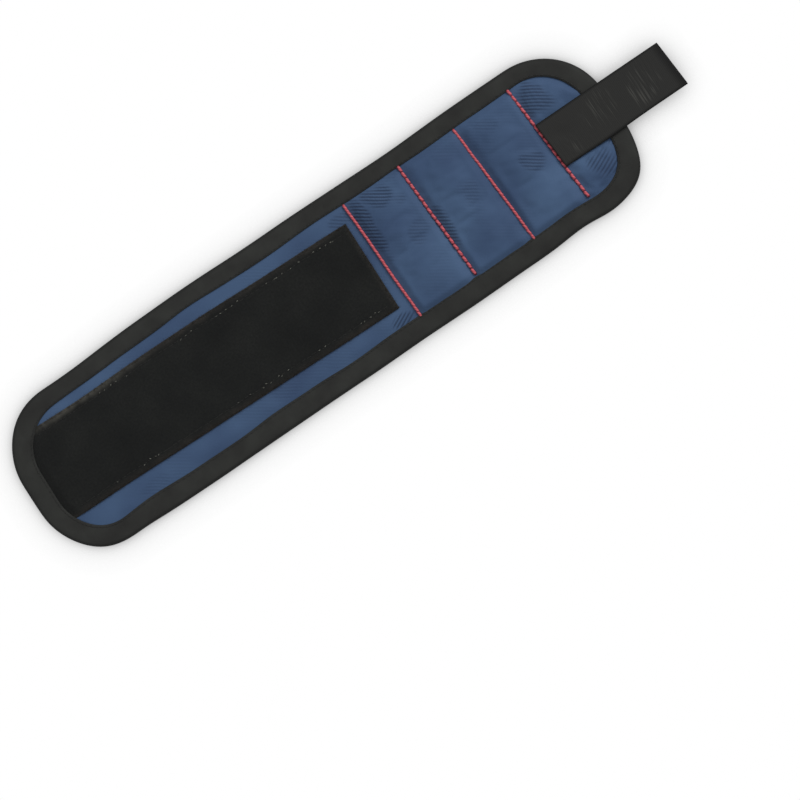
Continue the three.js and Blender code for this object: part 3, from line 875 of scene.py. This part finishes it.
# Black stitches along both long edges, with pale specks of thread beside some of them
def sewPatch():
    trims = []
    stitch, speck = makeStitch(*pile["stitch"]), makeStitch(*pile["speck"])
    for side in (-1, 1):
        row = side * (pileWide - pile["sewnIn"])
        for i in range(int(2 * pileLong / pile["pitch"])):
            u = -pileLong + pile["firstStitch"] + i * pile["pitch"] + dice.uniform(-0.4, 0.4)
            place = pileLay @ Vector((u, row + dice.uniform(-0.25, 0.25), 0))
            if u < pileLong - pile["lastStitch"] and inside(place.x, place.y) > pile["clear"]:
                place.z = pileTop(u, row, place.x, place.y) + 0.06
                at = Matrix.Translation(place)
                trims.append((stitch, at @ pileTurn))
                more = smooth(ripple(u, side, 19, 4.4), 0.12, 0.3)
                if dice.random() < pile["specks"] + pile["moreSpecks"] * more:
                    aside = Matrix.Translation((dice.uniform(-1, 1), dice.uniform(-0.5, 0.5), 0.1))
                    trims.append((speck, at @ aside @ Matrix.Rotation(dice.uniform(-0.6, 0.6), 4, "Z")))
    return trims


# Fibres that stand out from the long edges and the inner end
def frayPatch():
    trims = []
    first, last = pile["firstFibre"] - pileLong, pileLong
    edges = [((first, side * pileWide), (last, side * pileWide), (0, side)) for side in (-1, 1)]
    edges.append(((last, -pileWide), (last, pileWide), (1, 0)))
    fibre = makeFibre(*pile["fibre"])
    for edge in edges:
        a, b, out = (Vector((u, w, 0)) for u, w in edge)
        for i in range(int((b - a).length * pile["fibresPerMm"])):
            root = a.lerp(b, dice.random()) - out * dice.uniform(0.2, 1.4)
            place = pileLay @ root
            if inside(place.x, place.y) < pile["clear"]:
                continue
            place.z = pileTop(root.x, root.y, place.x, place.y) - 0.1
            lean = out * dice.uniform(0.1, 1.3)
            lean += Vector((dice.uniform(-0.7, 0.7), dice.uniform(-0.7, 0.7), dice.uniform(0.15, 0.9)))
            turn = (pileLay.to_3x3() @ lean).to_track_quat("Z", "Y").to_matrix().to_4x4()
            stretch = Matrix.Scale(dice.uniform(0.6, 1.5), 4, (0, 0, 1))
            trims.append((fibre, Matrix.Translation(place) @ turn @ stretch))
    return trims


def makeFibre(length, radius):
    bm = bmesh.new()
    bmesh.ops.create_cone(
        bm, cap_ends=True, segments=3, radius1=radius, radius2=radius * 0.3, depth=length,
        matrix=Matrix.Translation((0, 0, length / 2)),
    )
    return toShape(bm, 1)


def makeLoopPatch():
    bm = flatGrid(-pileLong, pileLong, -pileWide, pileWide, pile["step"])
    rim = perPoint(bm, "rim")
    brushed = perPoint(bm, "brushed")
    for v in bm.verts:
        u, w = v.co.x, v.co.y
        x, y, z = pileLay @ v.co
        v[brushed], v[rim] = brushedSheenAt(u, w), frayedAt(u, w)
        v.co = (x, y, pileTop(u, w, x, y))
    trimTo(bm, inside, pile["tuck"])
    trims = sewPatch() + frayPatch()
    pieces = cutToFolds(bm, dict(pile, trims=trims), "loop_patch")
    for piece, number in zip(pieces, (5, 4, 3, 2, 1)):
        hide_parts(f"loop_patch_{number}")


makeLoopPatch()

# Red seams: thick thread in slanting stitches, one row beside each pocket, every other row pulled tighter, with more
# painted shade at its stitch ends
redSeam = {
    # Each stitch: length, width, rise, material and how much painted shade its ends get
    "stitch": [(3.5, 1.4, 0.5, 0, 0.3), (3.95, 1.5, 0.8, 0, 1)], "pitch": [3.0, 3.8],
    "reach": 38, "clear": 11, "level": 0.15, "slant": 0.05, "stray": (0.22, 9),
    "materials": [redThread], "slot": "red_thread",
}


def makeSeams():
    shapes = [makeStitch(*stitch) for stitch in redSeam["stitch"]]
    for i in range(4):
        bm = bmesh.new()
        shape, pitch = shapes[i % 2], redSeam["pitch"][i % 2]
        rows = round(redSeam["reach"] / pitch)
        for k in range(-rows, rows + 1):
            y = pitch * k
            x = seamAt(i, y) + wave(0, y, *redSeam["stray"], i + 0.5)
            if inside(x, y) < redSeam["clear"]:
                continue
            turn = math.pi / 2 + redSeam["slant"] + seamSlants[i] + dice.uniform(-0.05, 0.05)
            place = Matrix.Translation((x, y, coverTop(seamAt(i, y), y) + redSeam["level"]))
            stamp(bm, shape, place @ Matrix.Rotation(turn, 4, "Z"))
        obj = makePiece(bm, redSeam, f"red_stitches_{i + 1}")
        bendAt(obj)
        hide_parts(f"red_seam_{i + 1}")
    print("red seams")


makeSeams()

# One hook of the tape: a bent stem
hook = {"radius": 0.14, "bend": 0.3, "turn": 160, "pitch": 1.25, "lift": 0.05}


def makeHook():
    bm = bmesh.new()
    bmesh.ops.create_circle(bm, segments=5, radius=hook["radius"])
    bmesh.ops.spin(
        bm, geom=bm.edges[:], cent=(hook["bend"], 0, 0), axis=(0, 1, 0), angle=math.radians(hook["turn"]), steps=4,
    )
    closeEnds(bm)
    return toShape(bm, 0)


hookShape = makeHook()


# Staggered rows of hooks that face down, wherever there is a level for them
def hookRows(fromX, lowY, sizeX, sizeY, shift, levelAt):
    trims, pitch = [], hook["pitch"]
    for i in range(int(sizeX / pitch)):
        for k in range(int(sizeY / pitch)):
            x, y = fromX + pitch * (i + 0.5 * (k % 2) + shift[0]), lowY + pitch * (k + shift[1])
            level = levelAt(x, y)
            if level is not None:
                place = Matrix.Translation((x, y, level + hook["lift"]))
                trims.append((hookShape, place @ Matrix.Rotation(math.pi, 4, "X")))
    return trims


# How far a point lies inside the patch's field of hooks, less than 0 on its border
def fieldShare(x, y):
    fromSide = min(y - hookPatch["lowY"], hookPatch["highY"] - y) - hookPatch["border"]
    return min(x - hookPatch["fromX"] - hookPatch["innerBorder"], fromSide)


def patchLevel(x, y, level):
    return mix(hookPatch["underBinding"], level, smooth(inside(x, y), *hookPatch["roll"]))


def patchHookLevel(x, y):
    onField, clear = hookPatch["hookClear"]
    if fieldShare(x, y) > onField and inside(x, y) > clear:
        return patchLevel(x, y, hookPatch["fieldLevel"])


def makeHookPatch():
    fromX, toX = hookPatch["fromX"], hookPatch["toX"] + hookPatch["tail"]
    lowY, highY = hookPatch["lowY"], hookPatch["highY"]
    bm = flatGrid(fromX, toX, lowY, highY, hookPatch["step"])
    trimTo(bm, inside, hookPatch["tuck"])
    groove = perPoint(bm, "rim")
    for v in bm.verts:
        x, y = v.co.x, v.co.y
        share = fieldShare(x, y)
        # A thin line of painted shade where the field steps down to the border
        v[groove] = 1 - smooth(abs(share), 0.1, 0.75)
        level = mix(hookPatch["borderLevel"], hookPatch["fieldLevel"], smooth(share, -0.5, 0.5))
        level += hookPatch["rimLift"] * (1 - smooth(min(x - fromX, y - lowY, highY - y), 0, 0.8))
        v.co.z = patchLevel(x, y, level)
    for face in bm.faces:
        x, y, z = face.calc_center_median()
        face.material_index = 0 if fieldShare(x, y) > 0 else 1
    trims = hookRows(fromX, lowY, toX - fromX, highY - lowY, (0.5, 0.5), patchHookLevel)
    obj = makePiece(bm, dict(hookPatch, trims=trims), "hook_patch")
    bendAt(obj)
    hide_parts("hook_patch_inner", "hook_patch_outer")


makeHookPatch()
print("hook patch")

# Strap: webbing from the last seam over the binding, its free end the tab, with a hook panel under it
strap = {
    "fromX": seams[3] + 0.4, "toX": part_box("strap_tab")[1].x / mm, "halfWidth": 13.1, "step": 0.8,
    "top": 6.95, "bend": (158.6, 168.5), "materials": [webbing], "slot": "webbing", "thickness": 1.25, "offset": -1,
    "held": "laid", "restsOn": ["cover_end_zone"],
    "darkRim": (0.2, 1.7), "endFade": 3.5, "sideDrop": (0.35, 1.3), "sag": (0.1, 14, 5.5),
    "rubbed": [(153, 2, 10, 12), (178, -1, 11, 11), (131, -5, 5, 6)],  # centre, reach
    "rub": {"most": 0.75, "stray": (0.5, 8, 4.7), "edge": (0.45, 1.1)},
    "creases": {"height": 0.07, "pitch": 0.36, "stray": (4, 16, 1.9), "where": (19, 7.1)},
    "dent": {"depth": 0.4, "place": (130, 2), "reach": (5, 3)},  # where it is sewn down
    "sewnSlant": 20, "endSlant": (0.7, 0.06, 30),
}
tabPanel = {
    "fromX": 164.5, "border": 1.5, "level": 4.75, "step": 1, "darkRim": (0.1, 1.1),
    "materials": [tabHooks], "slot": "hook_tape", "thickness": 0.5, "offset": 1, "held": "laid", "restsOn": ["strap"],
}


def makeStrap():
    fromX, toX, half = strap["fromX"], strap["toX"], strap["halfWidth"]
    bm = flatGrid(fromX, toX, -half, half, strap["step"])
    rim = perPoint(bm, "rim")
    rubbed = perPoint(bm, "rubbed")
    rub, crease, dent = strap["rub"], strap["creases"], strap["dent"]
    drop, dropWidth = strap["sideDrop"]
    cut, slant, slantReach = strap["endSlant"]
    for v in bm.verts:
        x, y = v.co.x, v.co.y
        fromSide = half - abs(y)
        # Painted shade along the sides and the free end
        v[rim] = 1 - smooth(min(fromSide, (toX - x) / strap["endFade"]), *strap["darkRim"])
        far = min(math.hypot((x - cx) / along, (y - cy) / across) for cx, cy, along, across in strap["rubbed"])
        v[rubbed] = rub["most"] * (1 - smooth(far + wave(x, y, *rub["stray"]), *rub["edge"]))
        v.co.z = strap["top"] - drop * (1 - smooth(fromSide, 0, dropWidth)) + wave(x, y, *strap["sag"])
        where = smooth(ripple(x, y, *crease["where"]), -0.1, 0.4)
        v.co.z += crease["height"] * math.sin(x / crease["pitch"] + wave(x, y, *crease["stray"])) * where
        away = [((c - at) / reach) ** 2 for c, at, reach in zip((x, y), dent["place"], dent["reach"])]
        v.co.z -= dent["depth"] * math.exp(-away[0] - away[1])
        v.co.x -= seamSlants[3] * y * (1 - smooth(x, fromX, fromX + strap["sewnSlant"]))
        v.co.x -= (cut + slant * y) * smooth(x, toX - slantReach, toX)
    obj = makePiece(bm, strap, "strap")
    bendTab(obj)
    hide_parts("strap_base", "strap_tab")


def bendTab(obj):
    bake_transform(obj)


def makeTabPanel():
    fromX, toX = tabPanel["fromX"], strap["toX"] - tabPanel["border"]
    half = strap["halfWidth"] - tabPanel["border"]
    bm = flatGrid(fromX, toX, -half, half, tabPanel["step"])
    rim = perPoint(bm, "rim")
    for v in bm.verts:
        v.co.z = tabPanel["level"]
        v[rim] = 1 - smooth(min(half - abs(v.co.y), toX - v.co.x), *tabPanel["darkRim"])
    trims = hookRows(fromX, -half, toX - fromX, 2 * half, (0.3, 0.6), lambda x, y: tabPanel["level"])
    obj = makePiece(bm, dict(tabPanel, trims=trims), "tab_hook_panel")
    bendTab(obj)
    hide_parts("strap_tab_hook")


makeStrap()
makeTabPanel()
print("strap and tab panel")

for name, node in frame["nodes"].items():
    if name.startswith("magnet"):
        node.data.materials.clear()
        node.data.materials.append(foam if "carrier" in name else ferrite)

# Camera straight above, turned as the band lies in the picture
view = {"lens": 110, "sensor": 36, "across": 406.8, "centre": (-13.8, -63.6, 5.0), "turn": -34.26}
camera = bpy.data.objects.new("camera", bpy.data.cameras.new("camera"))
setAll(camera.data, {"lens": view["lens"], "sensor_width": view["sensor"], "clip_end": 50})
camera.location = [c * mm for c in view["centre"]]
camera.location.z += view["across"] * mm * view["lens"] / view["sensor"]
camera.rotation_euler = (0, 0, math.radians(view["turn"]))
bpy.context.collection.objects.link(camera)
scene.camera = camera

# The floor is a clear film that darkens near the band, so that the white world shows through it
floor = {"half": 4, "level": -0.3, "shadow": 16}


def shadeFloor(add):
    near = add("AmbientOcclusion", {"Distance": floor["shadow"] * mm}, samples=8)
    seen = add("LightPath", {}).outputs["Is Camera Ray"]
    clear = add("Mix", {"Factor": seen, "A": "#FFFFFF", "B": near}, data_type="RGBA")
    return add("BsdfTransparent", {"Color": clear})


bm = bmesh.new()
level = Matrix.Translation((0, 0, floor["level"] * mm))
bmesh.ops.create_grid(bm, x_segments=1, y_segments=1, size=floor["half"], matrix=level)
toObject(bm, "floor", [newMaterial("shadow_on_white_floor", shadeFloor)])

# White to the camera and in reflections, and soft light from all round
world = bpy.data.worlds.new("studio")
scene.world = world
world.use_nodes = True
world.node_tree.nodes.clear()
add = partial(addNode, world.node_tree)
rays = add("LightPath", {}).outputs
seen = add("Math", {0: rays["Is Camera Ray"], 1: rays["Is Glossy Ray"]}, operation="MAXIMUM")
seen = add("Math", {0: seen, 1: rays["Is Transmission Ray"]}, operation="MAXIMUM")
strength = add("MapRange", {"Value": seen, "To Min": 0.3, "To Max": 1.0})
add("OutputWorld", {"Surface": add("Background", {"Color": "#FFFFFF", "Strength": strength})})

lamps = [  # name, place in metres, size in metres, watts
    ("key", (2.8, 1.1, 2.5), 2.1, 125),  # far off, so that both ends of the band get the same light
    ("fill", (-0.9, 0.2, 1.0), 1.2, 4.5),
    ("bounce", (0.2, 0.3, -1.0), 1.2, 4),  # the light that a white floor throws back
]
for name, place, size, watts in lamps:
    lamp = bpy.data.objects.new(name, bpy.data.lights.new(name, "AREA"))
    setAll(lamp.data, {"size": size, "energy": watts})
    lamp.location = place
    lamp.rotation_euler = (-Vector(place)).to_track_quat("-Z", "Y").to_euler()
    bpy.context.collection.objects.link(lamp)

scene.view_settings.view_transform = "Standard"
